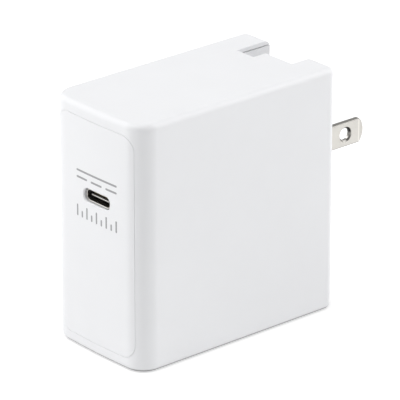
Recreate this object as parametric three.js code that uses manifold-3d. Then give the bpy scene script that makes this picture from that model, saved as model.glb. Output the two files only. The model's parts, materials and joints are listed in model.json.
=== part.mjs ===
// USB-C wall charger with a folding two-blade plug, as an assembly of separate pieces.
// Millimetres, +Z up. The origin is the centre of the bottom face. The port faces -Y, the blades +Y.
import * as THREE from "three";
import { mergeVertices } from "three/addons/utils/BufferGeometryUtils.js";
import Module from "manifold-3d";

const wasm = await Module();
wasm.setup();

// ---- Driving dimensions: the case ----
const WIDTH = 33;
const DEPTH = 62.4;
const HEIGHT = 63.5;
const FRONT = -DEPTH / 2;
const BACK = DEPTH / 2;
const FRONT_CORNER_R = 5.5; // upright corners beside the port
const BACK_CORNER_R = 2.2; // upright corners beside the blades
const BOW_R = 203; // plan radius of the gently bowed front
const EDGE_R = 1.6; // rounding of the top and bottom edges
const WALL = 2;
const FRONT_WALL_INNER = FRONT + 3.8; // inner face of the front wall
const LIP = 1; // sleeve wall left outside the rear cover
const LIP_DEPTH = 12;
const SEAM = 0.25; // gap between mouldings
const COVER_WALL = 1.2;
const COVER_PLATE = 1.8;

// ---- Driving dimensions: front plate and port ----
const PLATE = { width: 26.4, height: 56.7, radius: 3.5, proud: 0.12 };
const PLATE_GAP = 0.12;
const POCKET_FLOOR = FRONT + 2.1;
const PORT = { x: 0.8, z: 41 }; // a little to the right of the middle
const APERTURE = { width: 9.5, height: 3.5 };
const SHELL = { width: 8.94, height: 3.16, wall: 0.3, length: 7.4, recess: 0.75 };
const TONGUE = { width: 6.69, thickness: 0.7, length: 4.45, setBack: 0.65 };

// ---- Driving dimensions: folding plug ----
const PIVOT = { y: BACK - 3.3, z: 40 };
const BLADE = { width: 6.35, thickness: 1.5, spacing: 12.7, reach: 18, holeR: 1.6, holeAt: 11.9 };
const BLADE_TIP = { bevel: 1.7, radius: 3.9, cut: 0.4 };
const BLADE_ROOT = { width: 3.6, tail: 4.6 }; // inside the carrier, and reaching in past the pivot
const CARRIER = { radius: 3.9, half: 8.3, flat: 3.1, detent: 3.3, detentHalf: 3 };
const AXLE = { radius: 1.5, length: 2.6, clearance: 0.1 };
const RUNNING_GAP = 0.3;
const MOULDED_GAP = 0.05; // round a metal insert moulded into plastic
const BEARING = { near: CARRIER.half + RUNNING_GAP, far: CARRIER.half + AXLE.length + RUNNING_GAP };
const BEARING_SPLIT = 0.15; // from the axis to the end of either bearing half
const CHEEK_HALF = 4.6; // half height of the cover's bearing cheeks
const GROOVE = { inner: 5.25, outer: 7.8, depth: 6.75, bottom: PIVOT.z + 3.5 };
const NOTCH_FLOOR = HEIGHT - 11;
const FINGER_POCKET = { depth: 10.7, side: -1.7 }; // deep part of the notch, from -outer to side

// ---- Driving dimensions: behind the carrier, measured from the pivot ----
const RETAINER = { back: -8.3, front: -6.9, half: 5.4, armHalf: 3.2 };
const SPRING = { thickness: 0.3, width: 3, lift: 0.2, end: 4.6, bend: 3.5, crest: 1.2, tab: -7.6 };
const LEAD_R = 0.65;

// ---- Driving dimensions: boards ----
const BOARD = { thickness: 1.2, face: -12.6, front: -20, back: 18.5, bottom: 3.7, top: 60 };
const RAIL = { width: 0.8, grip: 0.3, overlap: 0.2 };
const STAND_OFF = 0.2; // solder clearance under a component
const OUTPUT_BOARD = { front: -22.6, half: 12, bottom: 22, top: 54 };
const PD_CHIP = { half: 2.5, height: 0.9, z: 31 };
const LINK = { x: 2.4, y: 2.3, z: 4.4, bottom: 46 };
const SHEET = { thickness: 0.2, x: -14.25, lip: 0.3 };

// ---- Driving dimensions: components. y and z are the centre of the footprint on the main board ----
const FUSE = { height: 8, diameter: 8.2, y: 13.6, z: 28 };
const THERMISTOR = { radius: 4.5, thickness: 3.4, y: 10.6, z: 20.3 };
const FILM_CAPACITOR = { height: 11, width: 5.8, length: 12, y: -4.4, z: 21.4 };
const BRIDGE = { height: 2.5, width: 4.8, length: 6.4, y: 2.2, z: 22.6 };
const CHOKE = { outer: 6, inner: 3.2, height: 5, wire: 0.8, gap: 0.1, spread: 1.15, y: 9.8, z: 11 };
const BULK = { radius: 5, length: 22, places: [[-14.3, 9.2], [-3.6, 9.2], [-14.3, 20]] };
const SWITCH = { height: 1, width: 5, length: 6, y: -16.4, z: 33 };
const PAD = { gap: 0.1, height: 0.7, width: 5.4, length: 7 };
const PRIMARY_SPREADER = { foot: -13.6, web: -19.3, reach: 25, bottom: 28, top: 44.5 };
const CONTROLLER = { height: 1.4, width: 4, length: 5, y: -15.8, z: 47.6 };
const RECTIFIER = { height: 1.1, width: 5, length: 5.6, y: 2.4, z: 56 };
const SECONDARY_SPREADER = { foot: 53.2, web: 59.8, reach: 22.4, bottom: 30, half: 4 };
const SPREADER_THICKNESS = 0.6;
const OUTPUT_CAPACITOR = { radius: 4, length: 13, places: [[-15.2, 55.6], [-6.6, 55.6]] };
const Y_CAPACITOR = { radius: 3.5, thickness: 3.2, y: 9.6, z: 55.6 };
const OPTOCOUPLER = { height: 3.6, width: 4.4, length: 6, y: 15, z: 55.4 };
const TRANSFORMER = { x: -3.3, y: -1.5, z: 40 };
const CORE = { width: 21, half: 10.8, depth: 9, leg: 6, outerLeg: 3, back: 3.2, gap: 0.15 };
const BOBBIN = { wall: 0.8, flange: 0.9, clearance: 0.25, depth: 17, width: 14.5 };
const LAYERS = { primary: [0.1, 1.3], secondary: [1.4, 2.6], tape: [2.7, 3] }; // outside the bobbin tube
const CORE_TAPE = { gap: 0.1, thickness: 0.25, half: 3 };

const ROUND = 24; // sides of a full circle
const QUARTER = 6; // steps in a quarter circle
const BEYOND = 5; // overshoot of a cutting tool

const FINISH = {
  whiteCase: { color: 0xf1f1f3, roughness: 0.42, metalness: 0 },
  whitePlate: { color: 0xf3f3f4, roughness: 0.36, metalness: 0 },
  innerWhite: { color: 0xe6e7e8, roughness: 0.5, metalness: 0 },
  blackPlastic: { color: 0x17171a, roughness: 0.45, metalness: 0 },
  nickel: { color: 0xd9d6cf, roughness: 0.28, metalness: 1 },
  steel: { color: 0xc4c4c2, roughness: 0.32, metalness: 1 },
  bronze: { color: 0xc08a52, roughness: 0.35, metalness: 1 },
  gold: { color: 0xe1bd6a, roughness: 0.25, metalness: 1 },
  aluminium: { color: 0xb9bcbe, roughness: 0.4, metalness: 1 },
  copperWire: { color: 0xb05f2c, roughness: 0.3, metalness: 1 },
  boardGreen: { color: 0x1f5a38, roughness: 0.5, metalness: 0 },
  ferrite: { color: 0x3a3a3d, roughness: 0.8, metalness: 0 },
  tapeYellow: { color: 0xe3c23a, roughness: 0.45, metalness: 0 },
  capacitorSleeve: { color: 0x24324d, roughness: 0.35, metalness: 0 },
  filmGrey: { color: 0xc9a13b, roughness: 0.5, metalness: 0 },
  discBlue: { color: 0x2d62a8, roughness: 0.4, metalness: 0 },
  discGreen: { color: 0x2f6b4a, roughness: 0.45, metalness: 0 },
  fuseBrown: { color: 0x5b3a2a, roughness: 0.5, metalness: 0 },
  padGrey: { color: 0x9aa3a8, roughness: 0.9, metalness: 0 },
  sheetAmber: { color: 0xd8b878, roughness: 0.6, metalness: 0 },
  leadBlack: { color: 0x1a1a1a, roughness: 0.5, metalness: 0 },
  leadWhite: { color: 0xe9e9e6, roughness: 0.5, metalness: 0 },
};

// ---- Solids: every helper takes and gives a BufferGeometry ----
const MERGE_DISTANCE = 1e-4;

function toSolid(geometry) {
  const bare = new THREE.BufferGeometry();
  bare.setAttribute("position", geometry.getAttribute("position"));
  bare.setIndex(geometry.getIndex());
  const merged = mergeVertices(bare, MERGE_DISTANCE);
  const vertProperties = merged.getAttribute("position").array;
  const triVerts = new Uint32Array(merged.getIndex().array);
  return new wasm.Manifold(new wasm.Mesh({ numProp: 3, vertProperties, triVerts }));
}

function toGeometry(solid) {
  const { vertProperties, triVerts } = solid.getMesh();
  const indexed = new THREE.BufferGeometry();
  indexed.setAttribute("position", new THREE.BufferAttribute(vertProperties, 3));
  indexed.setIndex(new THREE.BufferAttribute(triVerts, 1));
  const flat = indexed.toNonIndexed();
  flat.computeVertexNormals();
  return flat;
}

const join = (first, ...rest) =>
  toGeometry(rest.reduce((sum, next) => sum.add(toSolid(next)), toSolid(first)));
const cut = (first, ...tools) =>
  toGeometry(tools.reduce((left, tool) => left.subtract(toSolid(tool)), toSolid(first)));
const common = (first, second) => toGeometry(toSolid(first).intersect(toSolid(second)));

function block(x0, x1, y0, y1, z0, z1) {
  const box = new THREE.BoxGeometry(x1 - x0, y1 - y0, z1 - z0);
  return box.translate((x0 + x1) / 2, (y0 + y1) / 2, (z0 + z1) / 2);
}

// Shapes drawn as (x, z) and run along Y, as (y, z) and run along X, or as (x, y) and run along Z.
function alongY(shape, y0, y1) {
  const run = new THREE.ExtrudeGeometry(shape, { depth: y1 - y0, bevelEnabled: false });
  return run.rotateX(Math.PI / 2).translate(0, y1, 0);
}

function alongX(shape, x0, x1) {
  const run = new THREE.ExtrudeGeometry(shape, { depth: x1 - x0, bevelEnabled: false });
  const axes = [new THREE.Vector3(0, 1, 0), new THREE.Vector3(0, 0, 1), new THREE.Vector3(1, 0, 0)];
  return run.applyMatrix4(new THREE.Matrix4().makeBasis(...axes)).translate(x0, 0, 0);
}

function alongZ(shape, z0, z1) {
  const run = new THREE.ExtrudeGeometry(shape, { depth: z1 - z0, bevelEnabled: false });
  return run.translate(0, 0, z0);
}

const rodX = (radius, x0, x1, sides = ROUND) =>
  new THREE.CylinderGeometry(radius, radius, x1 - x0, sides)
    .rotateZ(Math.PI / 2)
    .translate((x0 + x1) / 2, 0, 0);

// A bore whose flats, not corners, lie at the radius, so that a shaft inside it stays clear.
const boreX = (radius, x0, x1) => rodX(radius / Math.cos(Math.PI / ROUND), x0, x1);

// ---- Outlines ----
function arc(cx, cy, radius, from, to, steps) {
  return Array.from({ length: steps + 1 }, (_, i) => {
    const angle = from + ((to - from) * i) / steps;
    return new THREE.Vector2(cx + radius * Math.cos(angle), cy + radius * Math.sin(angle));
  });
}

function roundedRectangle(width, height, radius, cx = 0, cy = 0) {
  const x = width / 2 - radius;
  const y = height / 2 - radius;
  const turn = Math.PI / 2;
  const corners = [[x, y], [-x, y], [-x, -y], [x, -y]];
  return new THREE.Shape(
    corners.flatMap(([px, py], i) => arc(cx + px, cy + py, radius, i * turn, (i + 1) * turn, QUARTER)),
  );
}

function frame(outerWidth, outerHeight, innerWidth, innerHeight, radius) {
  const shape = roundedRectangle(outerWidth, outerHeight, radius);
  const hole = roundedRectangle(innerWidth, innerHeight, radius / 2);
  shape.holes.push(new THREE.Path(hole.getPoints().reverse()));
  return shape;
}

const stadium = (width, height, cx, cy) => roundedRectangle(width, height, height / 2 - 0.01, cx, cy);

// A bent sheet seen edge-on: a polyline of [a, b] points thickened evenly to both sides.
function sheetShape(points, thickness) {
  const line = points.map(([a, b]) => new THREE.Vector2(a, b));
  const normals = line.slice(1).map((p, i) => {
    const d = p.clone().sub(line[i]).normalize();
    return new THREE.Vector2(-d.y, d.x);
  });
  const offsets = line.map((_, i) => {
    const before = normals[Math.max(i - 1, 0)];
    const after = normals[Math.min(i, normals.length - 1)];
    const mitre = before.clone().add(after).normalize();
    return mitre.multiplyScalar(thickness / 2 / mitre.dot(after));
  });
  const left = line.map((p, i) => p.clone().add(offsets[i]));
  const right = line.map((p, i) => p.clone().sub(offsets[i]));
  return new THREE.Shape([...right, ...left.reverse()]);
}

// Plan of the case: bowed front, large front corners, small back corners.
function casePlan(grow) {
  const half = WIDTH / 2;
  const bowCentre = FRONT + BOW_R;
  const cornerX = half - FRONT_CORNER_R;
  const toCorner = BOW_R - FRONT_CORNER_R;
  const cornerY = bowCentre - Math.sqrt(toCorner ** 2 - cornerX ** 2);
  const lean = Math.asin(cornerX / toCorner);
  const down = Math.PI * 1.5;
  const frontR = FRONT_CORNER_R + grow;
  const backR = BACK_CORNER_R + grow;
  const backX = half - BACK_CORNER_R;
  const backY = BACK - BACK_CORNER_R;
  const steps = QUARTER + 2;
  return new THREE.Shape([
    ...arc(backX, backY, backR, 0, Math.PI / 2, QUARTER),
    ...arc(-backX, backY, backR, Math.PI / 2, Math.PI, QUARTER),
    ...arc(-cornerX, cornerY, frontR, Math.PI, down - lean, steps),
    ...arc(0, bowCentre, BOW_R + grow, down - lean, down + lean, steps).slice(1, -1),
    ...arc(cornerX, cornerY, frontR, down + lean, Math.PI * 2, steps),
  ]);
}

// The outside of the whole case as one solid, with rounded top and bottom edges.
function caseEnvelope(grow = 0) {
  const run = new THREE.ExtrudeGeometry(casePlan(grow), {
    depth: HEIGHT - 2 * EDGE_R,
    bevelEnabled: true,
    bevelThickness: EDGE_R,
    bevelSize: EDGE_R,
    bevelOffset: -EDGE_R,
    bevelSegments: 4,
  });
  return run.translate(0, 0, EDGE_R);
}

function plateTool(gap, y0, y1) {
  const { width, height, radius } = PLATE;
  return alongY(roundedRectangle(width + 2 * gap, height + 2 * gap, radius + gap, 0, HEIGHT / 2), y0, y1);
}

const apertureTool = (y0, y1) => alongY(stadium(APERTURE.width, APERTURE.height, PORT.x, PORT.z), y0, y1);

// Finger notch in the top back edge: a shallow part as wide as the blades and a deep part at -X.
function notchTools(bottom) {
  const top = HEIGHT + BEYOND;
  const far = BACK + BEYOND;
  return [
    block(-GROOVE.outer, GROOVE.outer, BACK - GROOVE.depth, far, bottom, top),
    block(-GROOVE.outer, FINGER_POCKET.side, BACK - FINGER_POCKET.depth, far, bottom, top),
  ];
}

// Inset rectangle seen from the back, used for the opening that takes the rear cover.
const backOutline = (inset) =>
  roundedRectangle(WIDTH - 2 * inset, HEIGHT - 2 * inset, LIP, 0, HEIGHT / 2);

// ---- Case pieces ----
function outerSleeve() {
  const cavity = block(
    WALL - WIDTH / 2, WIDTH / 2 - WALL, FRONT_WALL_INNER, BACK + BEYOND, WALL, HEIGHT - WALL,
  );
  const rebate = alongY(backOutline(LIP), BACK - LIP_DEPTH, BACK + BEYOND);
  const pocket = plateTool(PLATE_GAP, FRONT - BEYOND, POCKET_FLOOR);
  const aperture = apertureTool(FRONT - BEYOND, FRONT_WALL_INNER + BEYOND);
  const shell = cut(caseEnvelope(), cavity, rebate, pocket, aperture, ...notchTools(HEIGHT / 2));
  return join(shell, ...boardRails());
}

// Two low ribs, on the floor and under the roof, that hold the edges of the main board.
function boardRails() {
  const near = BOARD.face + 0.1;
  const rib = (z0, z1) => block(near, near + RAIL.width, BOARD.front, BOARD.back - RAIL.width, z0, z1);
  return [
    rib(WALL - RAIL.overlap, BOARD.bottom + RAIL.grip),
    rib(BOARD.top - RAIL.grip, HEIGHT - WALL + RAIL.overlap),
  ];
}

function frontPlate() {
  const slab = plateTool(0, FRONT - BEYOND, POCKET_FLOOR - PLATE_GAP);
  return cut(common(caseEnvelope(PLATE.proud), slab), apertureTool(FRONT - BEYOND, FRONT + BEYOND));
}

// A solid on each side of the middle, from near to far out: make is given x0 and x1.
const pair = (near, far, make) => [make(near, far), make(-far, -near)];

function rearCover() {
  const inner = BACK - COVER_PLATE;
  const rim = BACK - LIP_DEPTH + SEAM;
  const outline = alongY(backOutline(LIP + SEAM), rim, BACK + BEYOND);
  const hollow = alongY(backOutline(LIP + SEAM + COVER_WALL), rim - BEYOND, inner);
  const tray = cut(common(caseEnvelope(), outline), hollow);
  const side = GROOVE.outer + COVER_WALL;
  const grooveBack = BACK - GROOVE.depth - COVER_WALL;
  const into = inner + 1;
  const box = (x1, y0) => block(-side, x1, y0, into, NOTCH_FLOOR - COVER_WALL, HEIGHT - LIP - SEAM);
  const troughs = pair(GROOVE.inner - COVER_WALL, side, (x0, x1) =>
    block(x0, x1, grooveBack, into, GROOVE.bottom, NOTCH_FLOOR));
  const cheeks = pair(BEARING.near, BEARING.far, (x0, x1) =>
    block(x0, x1, PIVOT.y + BEARING_SPLIT, into, PIVOT.z - CHEEK_HALF, PIVOT.z + CHEEK_HALF));
  const notchBox = [box(side, grooveBack), box(FINGER_POCKET.side + COVER_WALL, rim)];
  const solid = join(tray, ...notchBox, ...troughs, ...cheeks);
  return cut(solid, ...notchTools(NOTCH_FLOOR), ...grooveTools(), ...carrierTools());
}

// The two channels that the blades fold up into.
const grooveTools = () => pair(GROOVE.inner, GROOVE.outer, (x0, x1) =>
  block(x0, x1, BACK - GROOVE.depth, BACK + BEYOND, PIVOT.z, NOTCH_FLOOR + 1));

// Room in the cover for the turning carrier, its axles and the blade tails, which point down when folded.
function carrierTools() {
  const reach = BLADE_ROOT.tail + 0.8;
  const side = BLADE_ROOT.width / 2 + RUNNING_GAP;
  const tails = pair(GROOVE.inner, GROOVE.outer, (x0, x1) => block(x0, x1, -reach, side, -reach, 0));
  const barrel = boreX(CARRIER.radius + RUNNING_GAP, -BEARING.near, BEARING.near);
  return [barrel, axleBore(), ...tails].map((tool) => tool.translate(0, PIVOT.y, PIVOT.z));
}

const axleBore = () => boreX(AXLE.radius + AXLE.clearance, -BEARING.far - 1, BEARING.far + 1);

// ---- Behind the carrier, about the pivot axis ----

// Bracket with a plate and two arms, whose half-round ends close the axle bearings.
function carrierRetainer() {
  const { back, front, half, armHalf } = RETAINER;
  const plate = block(-BEARING.far, BEARING.far, back, front, -half, half);
  const arms = pair(BEARING.near, BEARING.far, (x0, x1) =>
    block(x0, x1, (back + front) / 2, -BEARING_SPLIT, -armHalf, armHalf));
  return cut(join(plate, ...arms), axleBore());
}

// A leaf that stands on the retainer's plate and bulges towards the carrier, up to the crest.
function leafSpring(crest, bottom) {
  const { thickness, width, lift, end, bend } = SPRING;
  const foot = RETAINER.front + lift;
  const edge = sheetShape(
    [[foot, bottom], [foot, -bend], [crest, -SPRING.crest], [crest, SPRING.crest], [foot, bend], [foot, end]],
    thickness,
  );
  return alongX(edge, -width / 2, width / 2);
}

// The contact spring runs down past the plate to a solder tab.
const contactSpring = () => leafSpring(-BLADE_ROOT.tail - 0.55, SPRING.tab);
const detentSpring = () => leafSpring(-CARRIER.radius - 0.35, -SPRING.end);

// An insulated wire through the given points.
function leadWire(...points) {
  const path = new THREE.CatmullRomCurve3(points.map((p) => new THREE.Vector3(...p)), false, "centripetal");
  const section = new THREE.Shape(arc(0, 0, LEAD_R, 0, 2 * Math.PI, 8).slice(0, -1));
  return new THREE.ExtrudeGeometry(section, { steps: 14, bevelEnabled: false, extrudePath: path });
}

// ---- Folding plug, about the pivot axis ----

// Insulating barrel with stub axles, flats that lie near the back face, and flats for the detent spring.
function bladeCarrier() {
  const { radius, half, flat, detent, detentHalf } = CARRIER;
  const far = radius + 1;
  const end = half + AXLE.length;
  const barrel = join(rodX(radius, -half, half), rodX(AXLE.radius, -end, end));
  const flats = [
    block(-end, end, flat, far, -far, far),
    block(-end, end, -far, far, -far, -flat),
    block(-detentHalf, detentHalf, -far, -detent, -far, far),
    block(-detentHalf, detentHalf, -far, far, detent, far),
  ];
  const inner = (BLADE.spacing - BLADE.thickness) / 2 - MOULDED_GAP;
  const outer = (BLADE.spacing + BLADE.thickness) / 2 + MOULDED_GAP;
  const slotHalf = BLADE_ROOT.width / 2 + MOULDED_GAP;
  const slots = pair(inner, outer, (x0, x1) => block(x0, x1, -far, far, -slotHalf, slotHalf));
  return cut(barrel, ...flats, ...slots);
}

// One blade: a narrow root inside the carrier, then the full width with a hole and a coined round tip.
function blade() {
  const half = BLADE.width / 2;
  const wall = BACK - PIVOT.y;
  const tip = wall + BLADE.reach;
  const shoulder = wall + 0.2;
  const sweep = Math.asin(half / BLADE_TIP.radius);
  const root = BLADE_ROOT.width / 2;
  const outline = new THREE.Shape([
    new THREE.Vector2(-BLADE_ROOT.tail, -root),
    new THREE.Vector2(shoulder, -root),
    new THREE.Vector2(shoulder, -half),
    ...arc(tip - BLADE_TIP.radius, 0, BLADE_TIP.radius, -sweep, sweep, 2 * QUARTER),
    new THREE.Vector2(shoulder, half),
    new THREE.Vector2(shoulder, root),
    new THREE.Vector2(-BLADE_ROOT.tail, root),
  ]);
  const hole = arc(wall + BLADE.holeAt, 0, BLADE.holeR, 0, -2 * Math.PI, ROUND).slice(0, -1);
  outline.holes.push(new THREE.Path(hole));
  const face = BLADE.thickness / 2;
  const bevels = [-1, 1].map((s) => bladeTipBevel(s * face, s * (face - BLADE_TIP.cut), tip));
  return cut(alongX(outline, -face, face), ...bevels);
}

// Wedge taken off one side of a blade's tip, from x = face at its start to x = thinned at the tip.
function bladeTipBevel(face, thinned, tip) {
  const slope = (thinned - face) / BLADE_TIP.bevel;
  const end = 1;
  const outside = face * 2;
  const corners = [
    [face, tip - BLADE_TIP.bevel],
    [outside, tip - BLADE_TIP.bevel],
    [outside, tip + end],
    [thinned + slope * end, tip + end],
  ].map(([x, y]) => new THREE.Vector2(x, y));
  return alongZ(new THREE.Shape(corners), -BLADE.width, BLADE.width);
}

// ---- USB-C receptacle, about the centre of its mouth, running towards +Y ----
function usbShell() {
  const { width, height, wall, length } = SHELL;
  const outer = alongY(stadium(width, height, 0, 0), 0, length);
  const bore = alongY(stadium(width - 2 * wall, height - 2 * wall, 0, 0), -1, length - wall);
  return cut(outer, bore);
}

function usbTongue() {
  const { width, thickness, length, setBack } = TONGUE;
  const clear = SHELL.wall + 0.1;
  const root = alongY(
    stadium(SHELL.width - 2 * clear, SHELL.height - 2 * clear, 0, 0), setBack + length, SHELL.length - clear,
  );
  const half = thickness / 2;
  return join(root, block(-width / 2, width / 2, setBack, setBack + length + 1, -half, half));
}

// Twelve contact strips in a row, joined at the back by their carrier strip.
function usbContactRow(side) {
  const count = 12;
  const pitch = 0.5;
  const near = side * (TONGUE.thickness / 2 + 0.02);
  const far = near + side * 0.12;
  const [z0, z1] = [Math.min(near, far), Math.max(near, far)];
  const start = TONGUE.setBack + 0.5;
  const end = TONGUE.setBack + TONGUE.length - 0.1;
  const strips = Array.from({ length: count }, (_, i) => {
    const x = (i - (count - 1) / 2) * pitch;
    return block(x - 0.13, x + 0.13, start, end, z0, z1);
  });
  const half = (count * pitch) / 2;
  return join(...strips, block(-half, half, end - 0.3, end, z0, z1));
}

// ---- Components: X starts at the foot, Y and Z are centred ----

// A capacitor can lying along X, with a crimped groove near its foot.
function canCapacitor({ radius, length }) {
  const groove = 0.4;
  const profile = [
    [0, 0], [radius - groove, 0], [radius, groove], [radius, 4 * groove], [radius - groove, 5 * groove],
    [radius, 6 * groove], [radius, length - groove], [radius - groove, length], [0, length],
  ].map(([r, h]) => new THREE.Vector2(r, h));
  return new THREE.LatheGeometry(profile, ROUND).rotateZ(-Math.PI / 2);
}

// A dipped disc standing on its rim, its axis along Y.
function dippedDisc({ radius, thickness }) {
  const edge = thickness / 3;
  const half = thickness / 2;
  const profile = [
    [0, -half], [radius - edge, -half], [radius, edge - half], [radius, half - edge], [radius - edge, half],
    [0, half],
  ].map(([r, h]) => new THREE.Vector2(r, h));
  return new THREE.LatheGeometry(profile, ROUND).translate(radius, 0, 0);
}

const brick = ({ height, width, length }) =>
  block(0, height, -width / 2, width / 2, -length / 2, length / 2);

const softBrick = ({ height, width, length }, radius) =>
  alongX(roundedRectangle(width, length, radius), 0, height);

// ---- Transformer, about its own centre, wound round Z ----

// An E-shaped half, legs pointing down.
function coreHalf() {
  const { width, half, leg, outerLeg, back, gap } = CORE;
  const window = width / 2 - outerLeg;
  const right = [
    [width / 2, half], [width / 2, gap], [window, gap], [window, half - back], [leg / 2, half - back],
    [leg / 2, gap],
  ];
  const left = right.map(([y, z]) => [-y, z]).reverse();
  const outline = [...right, ...left].reverse().map(([y, z]) => new THREE.Vector2(y, z));
  return alongX(new THREE.Shape(outline), -CORE.depth / 2, CORE.depth / 2);
}

// Sizes in X and Y of a layer that lies the given distance outside the centre leg.
const layer = (outside) => [CORE.depth + 2 * outside, CORE.leg + 2 * outside];

function bobbin() {
  const height = CORE.half - CORE.back - BOBBIN.clearance;
  const tubeOut = layer(BOBBIN.clearance + BOBBIN.wall);
  const tubeIn = layer(BOBBIN.clearance);
  const tube = alongZ(roundedRectangle(...tubeOut, 0.5), -height, height);
  const flange = (z0) => alongZ(roundedRectangle(BOBBIN.depth, BOBBIN.width, 1), z0, z0 + BOBBIN.flange);
  const bore = alongZ(roundedRectangle(...tubeIn, 0.2), -height - 1, height + 1);
  return cut(join(tube, flange(-height), flange(height - BOBBIN.flange)), bore);
}

// A layer round the bobbin's tube, between its flanges.
function windingLayer([from, to]) {
  const tube = BOBBIN.clearance + BOBBIN.wall;
  const height = CORE.half - CORE.back - BOBBIN.clearance - BOBBIN.flange - 0.2;
  return alongZ(frame(...layer(tube + to), ...layer(tube + from), 1.2), -height, height);
}

// A band of tape round both core halves.
function coreTape() {
  const { gap, thickness, half } = CORE_TAPE;
  const width = CORE.width + 2 * gap;
  const height = 2 * (CORE.half + gap);
  const band = frame(width + 2 * thickness, height + 2 * thickness, width, height, thickness);
  return alongX(band, -half, half);
}

// ---- Common-mode choke: a toroid lying flat on the board with two windings ----
function annularSector(inner, outer, from, to, x0, x1) {
  const steps = 12;
  const outline = [...arc(0, 0, outer, from, to, steps), ...arc(0, 0, inner, to, from, steps)];
  return alongX(new THREE.Shape(outline), x0, x1);
}

function chokeCore() {
  const { outer, inner, height, wire, gap } = CHOKE;
  const low = wire + gap;
  return cut(rodX(outer, low, low + height), rodX(inner, low - 1, low + height + 1));
}

// Wire wrapped round one side of the core, as one thick layer.
function chokeWinding(side) {
  const { outer, inner, height, wire, gap, spread } = CHOKE;
  const middle = side > 0 ? 0 : Math.PI;
  const [from, to] = [middle - spread, middle + spread];
  const top = height + 2 * (wire + gap);
  const around = annularSector(inner - gap - wire, outer + gap + wire, from, to, 0, top);
  const room = cut(boreX(outer + gap, wire, top - wire), rodX(inner - gap, wire - 1, top));
  return cut(around, room);
}

// ---- Assembly ----
function piece(name, geometry, finish, position = [0, 0, 0]) {
  const mesh = new THREE.Mesh(geometry, new THREE.MeshStandardMaterial({ name, ...finish }));
  mesh.name = name;
  mesh.position.set(...position);
  return mesh;
}

function group(position, ...members) {
  const made = new THREE.Group();
  made.position.set(...position);
  made.add(...members);
  return made;
}

const bladeX = BLADE.spacing / 2;
const footX = BOARD.face + STAND_OFF;
const at = ({ y, z }, x = 0) => [x, y, z];

const housing = group([0, 0, 0],
  piece("outer_sleeve", outerSleeve(), FINISH.whiteCase),
  piece("front_plate", frontPlate(), FINISH.whitePlate),
  piece("rear_cover", rearCover(), FINISH.innerWhite),
);

const plug = group(at(PIVOT),
  piece("blade_carrier", bladeCarrier(), FINISH.innerWhite),
  piece("blade_left", blade(), FINISH.nickel, [-bladeX, 0, 0]),
  piece("blade_right", blade(), FINISH.nickel, [bladeX, 0, 0]),
);

const plugContacts = group(at(PIVOT),
  piece("carrier_retainer", carrierRetainer(), FINISH.blackPlastic),
  piece("contact_spring_left", contactSpring(), FINISH.bronze, [-bladeX, 0, 0]),
  piece("contact_spring_right", contactSpring(), FINISH.bronze, [bladeX, 0, 0]),
  piece("detent_spring", detentSpring(), FINISH.steel),
);

// The leads start on the back of the spring tabs and end at pads near the back edge of the main board.
const tabY = PIVOT.y + RETAINER.front + SPRING.lift - SPRING.thickness / 2 - LEAD_R - 0.1;
const tabZ = PIVOT.z + SPRING.tab + LEAD_R;
const padX = footX + 0.4;
const padY = BOARD.back - 1.5;
const liveLead = leadWire(
  [bladeX, tabY, tabZ],
  [bladeX - 1, tabY, tabZ - 5],
  [-1, tabY + 1.2, tabZ - 11.6],
  [-9, tabY - 0.4, tabZ - 13.8],
  [padX, padY, tabZ - 14.5],
);
const neutralLead = leadWire(
  [-bladeX, tabY, tabZ],
  [-bladeX - 1.1, tabY, tabZ - 4],
  [-bladeX - 4.2, tabY - 0.3, tabZ - 8.2],
  [padX, padY, tabZ - 11.2],
);
const leads = group([0, 0, 0],
  piece("live_lead", liveLead, FINISH.leadBlack),
  piece("neutral_lead", neutralLead, FINISH.leadWhite),
);

const port = group([PORT.x, FRONT - PLATE.proud + SHELL.recess, PORT.z],
  piece("usb_shell", usbShell(), FINISH.steel),
  piece("usb_tongue", usbTongue(), FINISH.blackPlastic),
  piece("usb_contacts_upper", usbContactRow(1), FINISH.gold),
  piece("usb_contacts_lower", usbContactRow(-1), FINISH.gold),
);

function mainBoard() {
  const { thickness, face, front, back, bottom, top } = BOARD;
  return block(face - thickness, face, front, back, bottom, top);
}

const outputBoardBack = OUTPUT_BOARD.front + BOARD.thickness;

function outputBoard() {
  const { front, half, bottom, top } = OUTPUT_BOARD;
  return block(-half, half, front, outputBoardBack, bottom, top);
}

// Insulating sheet behind the main board, its two upright edges bent towards it.
function insulationSheet() {
  const { thickness, x, lip } = SHEET;
  const [near, far] = [BOARD.front - lip, BOARD.back - lip];
  const edge = sheetShape([[x + lip, near - lip], [x, near], [x, far], [x + lip, far + lip]], thickness);
  return alongZ(edge, BOARD.bottom, BOARD.top);
}

function pdController() {
  const { half, height } = PD_CHIP;
  return block(-half, half, 0, height, -half, half);
}

const chipY = outputBoardBack + STAND_OFF;
const boards = group([0, 0, 0],
  piece("main_board", mainBoard(), FINISH.boardGreen),
  piece("output_board", outputBoard(), FINISH.boardGreen),
  piece("insulation_sheet", insulationSheet(), FINISH.sheetAmber),
  piece("pd_controller", pdController(), FINISH.blackPlastic, [0, chipY, PD_CHIP.z]),
  piece("board_link", block(0, LINK.x, 0, LINK.y, 0, LINK.z), FINISH.blackPlastic,
    [footX, chipY, LINK.bottom]),
);

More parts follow.
